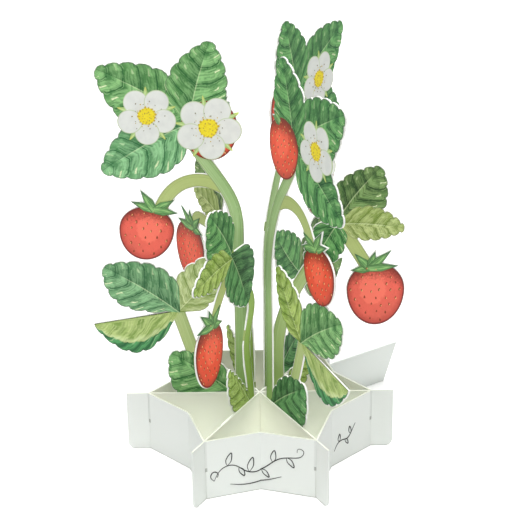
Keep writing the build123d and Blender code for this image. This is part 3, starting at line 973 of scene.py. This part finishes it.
# Low sprigs: the head where the leaves meet, the berry, the leaves that differ, and the paints
lowLook = {
    "right": {"head": (32, 99), "berryAt": (46, 68), "berryWidth": 23, "footLeaf": ((20, 41), 3, 6.5),
              "outerTip": (25, -3.5), "innerTip": (-12, -23), "innerReach": (7.5, 8.5), "stem": "stemSoft",
              "foot": "lime", "outer": "straw", "inner": "forest", "crown": "moss", "berry": "berry"},
    "front_left": {"head": (20.5, 92.5), "berryAt": (38, 59), "berryWidth": 20.5,
                   "footLeaf": ((23.5, 45.5), 3, 9.5), "outerTip": (28, -4.5), "innerTip": (-12.5, -25),
                   "innerReach": (10.3, 14), "stem": "stemDeep", "foot": "lime", "outer": "lime",
                   "inner": "night", "crown": "forest", "berry": "berryBright"},
    "back_left": {"head": (28, 93), "berryAt": (51.5, 69.5), "berryWidth": 22, "footLeaf": ((24, 46), 3, 8),
                  "outerTip": (19, 6), "innerTip": (-12, -23), "innerReach": (7.5, 8), "stem": "stemDeep",
                  "foot": "lime", "outer": "straw", "inner": "night", "crown": "moss",
                  "berry": "berryBright"},
}


def lowSprig(arm, look):
    def at(x, y):
        return (x + look["head"][0], y + look["head"][1])

    def below(x, y):
        return (x + look["berryAt"][0], y + look["berryAt"][1])

    stem = [(7, 3), (7.3, 36), (8.5, 54), at(-16, -26), at(-8, -13), at(0, 1)]
    branch = [at(-1, 1), at(3, -6.5), below(-6.5, 17), below(-2.5, 10)]
    leaves = [((6, 22), *look["footLeaf"], look["foot"]),
              (at(0, 1), at(*look["innerTip"]), *look["innerReach"], look["inner"], -1),
              (at(-1, 1), at(15.5, 22), 9.5, 12.5, look["crown"]),
              (at(-1, -1), at(*look["outerTip"]), 8.8, 6.5, look["outer"])]
    berries = [(look["berryAt"], look["berryWidth"], berryShape["lowTall"], 0, look["berry"])]
    crowns = berrySepals(below(-2.5, 11), [below(-10.5, 10), below(-9, 18), below(0, 19), below(6.5, 19),
                                           below(9.5, 12)])
    printSprig(arm, [(branch, "branch", "branch"), (stem, "stem", look["stem"])], leaves, berries, crowns)


for armName, sprigLook in tallLook.items():
    tallSprig(armName, sprigLook)
for armName, sprigLook in lowLook.items():
    lowSprig(armName, sprigLook)

# A pen sprig on the walls: points along the wall from its left end and up from the table, in millimetres;
# each small leaf is its root, its direction in degrees and its length
penLook = {
    "width": 0.44, "lightest": 0.45, "lift": 0.02, "stepsPerPoint": 8,
    "leafOutline": [(0, 0), (0.3, 0.2), (0.65, 0.19), (1, 0), (0.7, -0.13), (0.35, -0.16), (0, 0)],
    "front": {"lines": [[(3.6, 7.4), (7.0, 12.4), (11.5, 13.0), (16.0, 9.8), (20.5, 8.4), (25.5, 11.2),
                         (30.5, 15.0), (36.0, 16.2), (39.4, 17.6), (39.8, 20.0), (37.8, 20.4), (37.4, 18.8)],
                        [(3.6, 7.4), (2.2, 9.4), (3.4, 11.4), (5.2, 10.4), (4.8, 8.8)],
                        [(10.0, 4.8), (16.0, 3.6), (24.0, 4.4), (31.0, 7.0)]],
              "leaves": [(8.9, 13.2, 72, 5.6), (13.6, 11.6, -62, 4.6), (17.8, 8.9, 76, 6.2),
                         (23.0, 9.3, -48, 4.4), (27.6, 12.9, 82, 5.4), (33.0, 15.9, -52, 5.0)]},
    "side": {"lines": [[(1.6, 6.4), (4.0, 9.4), (6.6, 9.8), (9.2, 9.4), (11.6, 11.4), (14.0, 14.6)]],
             "leaves": [(4.4, 9.6, 84, 3.4), (8.0, 9.6, -58, 3.2), (11.2, 10.9, 100, 3.4)]},
}


def alongWalls(corners, run, up):
    # a place on the outer face of walls that stand on the given plan corners
    for start, end in zip(corners[:-1], corners[1:]):
        length = math.dist(start, end)
        if run <= length or end == corners[-1]:
            break
        run -= length
    dx, dy = (end[0] - start[0]) / length, (end[1] - start[1]) / length
    off = card["sheet"] / 2 + penLook["lift"]
    return (start[0] + dx * run + dy * off) * mm, (start[1] + dy * run - dx * off) * mm, up * mm


def leafLine(x, y, turn, length):
    # one closed pen loop, pointed at both ends
    way, side = math.radians(turn), math.radians(turn + 90)
    return [(x + length * (a * math.cos(way) + b * math.cos(side)),
             y + length * (a * math.sin(way) + b * math.sin(side))) for a, b in penLook["leafOutline"]]


def penPiece(name, corners, look):
    places, edges = [], []
    for line in look["lines"] + [leafLine(*leaf) for leaf in look["leaves"]]:
        smooth = curveThrough(line, penLook["stepsPerPoint"] * len(line))
        start = len(places)
        places += [alongWalls(corners, run, up) for run, up in smooth]
        edges += [(start + i, start + i + 1) for i in range(len(smooth) - 1)]
    path = bpy.data.meshes.new(name)
    path.from_pydata(places, edges, [])
    pen = {"Width": penLook["width"] * mm, "Lightest": penLook["lightest"], "Paint": paints["pen"]}
    piece = linked(name, trees["pen"].grow(pen, path))
    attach(piece, "root")


def armTip(arm):
    angle = math.radians(card["arms"][arm])
    return card["tip"] * math.cos(angle), card["tip"] * math.sin(angle)


penPiece("pen_sprig_front", [armTip("front_left"), (0.0, -card["frontFold"]), armTip("front_right")],
         penLook["front"])
penPiece("pen_sprig_side", [card["sideFold"], armTip("right")], penLook["side"])
print("pen sprigs drawn")

# A floor that the camera sees as white and that lights the card as a pale floor does; lamps: power, place
stageLook = {"size": 6.0, "drop": 0.0002, "floor": (244, 244, 243), "floorCloud": (242, 242, 242),
             "floorClouds": 0.2, "nearGlow": (0.3, 0.3, 0.3, 1), "farGlow": (1, 1, 1, 1), "glowFrom": 0.2,
             "glowTo": 1.0, "sky": (1, 1, 1, 1), "skyLight": 0.165, "lampSize": 1.0, "aim": (0, 0, 0.08),
             "lamps": {"softbox_top": (27.0, (0.0, -0.1, 1.4)), "softbox_front": (5.0, (0.0, -0.95, 1.0))}}


def buildFloor():
    look = stageLook
    half = look["size"] / 2
    mesh = bpy.data.meshes.new("floor")
    corners = [(x * half, y * half, -look["drop"]) for x, y in ((-1, -1), (1, -1), (1, 1), (-1, 1))]
    mesh.from_pydata(corners, [], [(0, 1, 2, 3)])
    paint = Paint("floor_white", look["floor"], roughness=0.9, specular=0.0)
    cloud = paint.ramp(paint.mottle(3.0), 0.2, 0.8)
    paint.lay(cloud * look["floorClouds"], look["floorCloud"])
    paint.finish(0)
    x, y = paint.parts(paint.place())[:2]
    away = paint.ramp(reachOf(x, y), look["glowFrom"], look["glowTo"])
    glowColour = paint.mix(away, look["nearGlow"], look["farGlow"])
    glow = paint.node("ShaderNodeEmission", None, {"Color": glowColour, "Strength": paint.seenDirectly()})
    both = paint.node("ShaderNodeAddShader", None, [paint.shader.outputs[0], glow.outputs[0]])
    paint.feed(paint.tree.nodes["Material Output"].inputs["Surface"], both.outputs[0])
    mesh.materials.append(paint.material)
    floor = linked("floor", mesh)


def buildSky():
    # white to the camera, dim to the card
    world = bpy.data.worlds.new("studio")
    bpy.context.scene.world = world
    world.use_nodes = True
    sky = NodeTree(world.node_tree)
    background = sky.tree.nodes["Background"]
    sky.feed(background.inputs["Color"], stageLook["sky"])
    light = stageLook["skyLight"]
    sky.feed(background.inputs["Strength"], sky.seenDirectly() * (1 - light) + light)


def buildLamps():
    for name, (power, place) in stageLook["lamps"].items():
        lamp = bpy.data.lights.new(name, "AREA")
        lamp.energy = power
        lamp.size = stageLook["lampSize"]
        holder = linked(name, lamp)
        holder.location = place
        way = Vector(stageLook["aim"]) - holder.location
        holder.rotation_euler = way.to_track_quat("-Z", "Y").to_euler()


cameraLook = {"place": (0.00078, -0.55065, 0.32164), "down": 23.4, "roll": -0.74, "lens": 106.69,
              "sensor": 36.0, "near": 0.01, "far": 20}


def buildCamera():
    down, roll = math.radians(cameraLook["down"]), math.radians(cameraLook["roll"])
    forward = Vector((0, math.cos(down), -math.sin(down)))
    right, up = Vector((1, 0, 0)), Vector((0, math.sin(down), math.cos(down)))
    sideways = right * math.cos(roll) + up * math.sin(roll)
    upwards = up * math.cos(roll) - right * math.sin(roll)
    lens = bpy.data.cameras.new("camera")
    lens.lens = cameraLook["lens"]
    lens.sensor_width = cameraLook["sensor"]
    lens.clip_start = cameraLook["near"]
    lens.clip_end = cameraLook["far"]
    camera = linked("camera", lens)
    turned = Matrix((sideways, upwards, -forward)).transposed().to_4x4()
    camera.matrix_world = Matrix.Translation(cameraLook["place"]) @ turned
    bpy.context.scene.camera = camera


buildFloor()
buildSky()
buildLamps()
buildCamera()
bpy.context.scene.view_settings.view_transform = "Standard"
bpy.context.scene.cycles.diffuse_bounces = 10      # light goes round many times between white card walls
print("stage and camera ready")
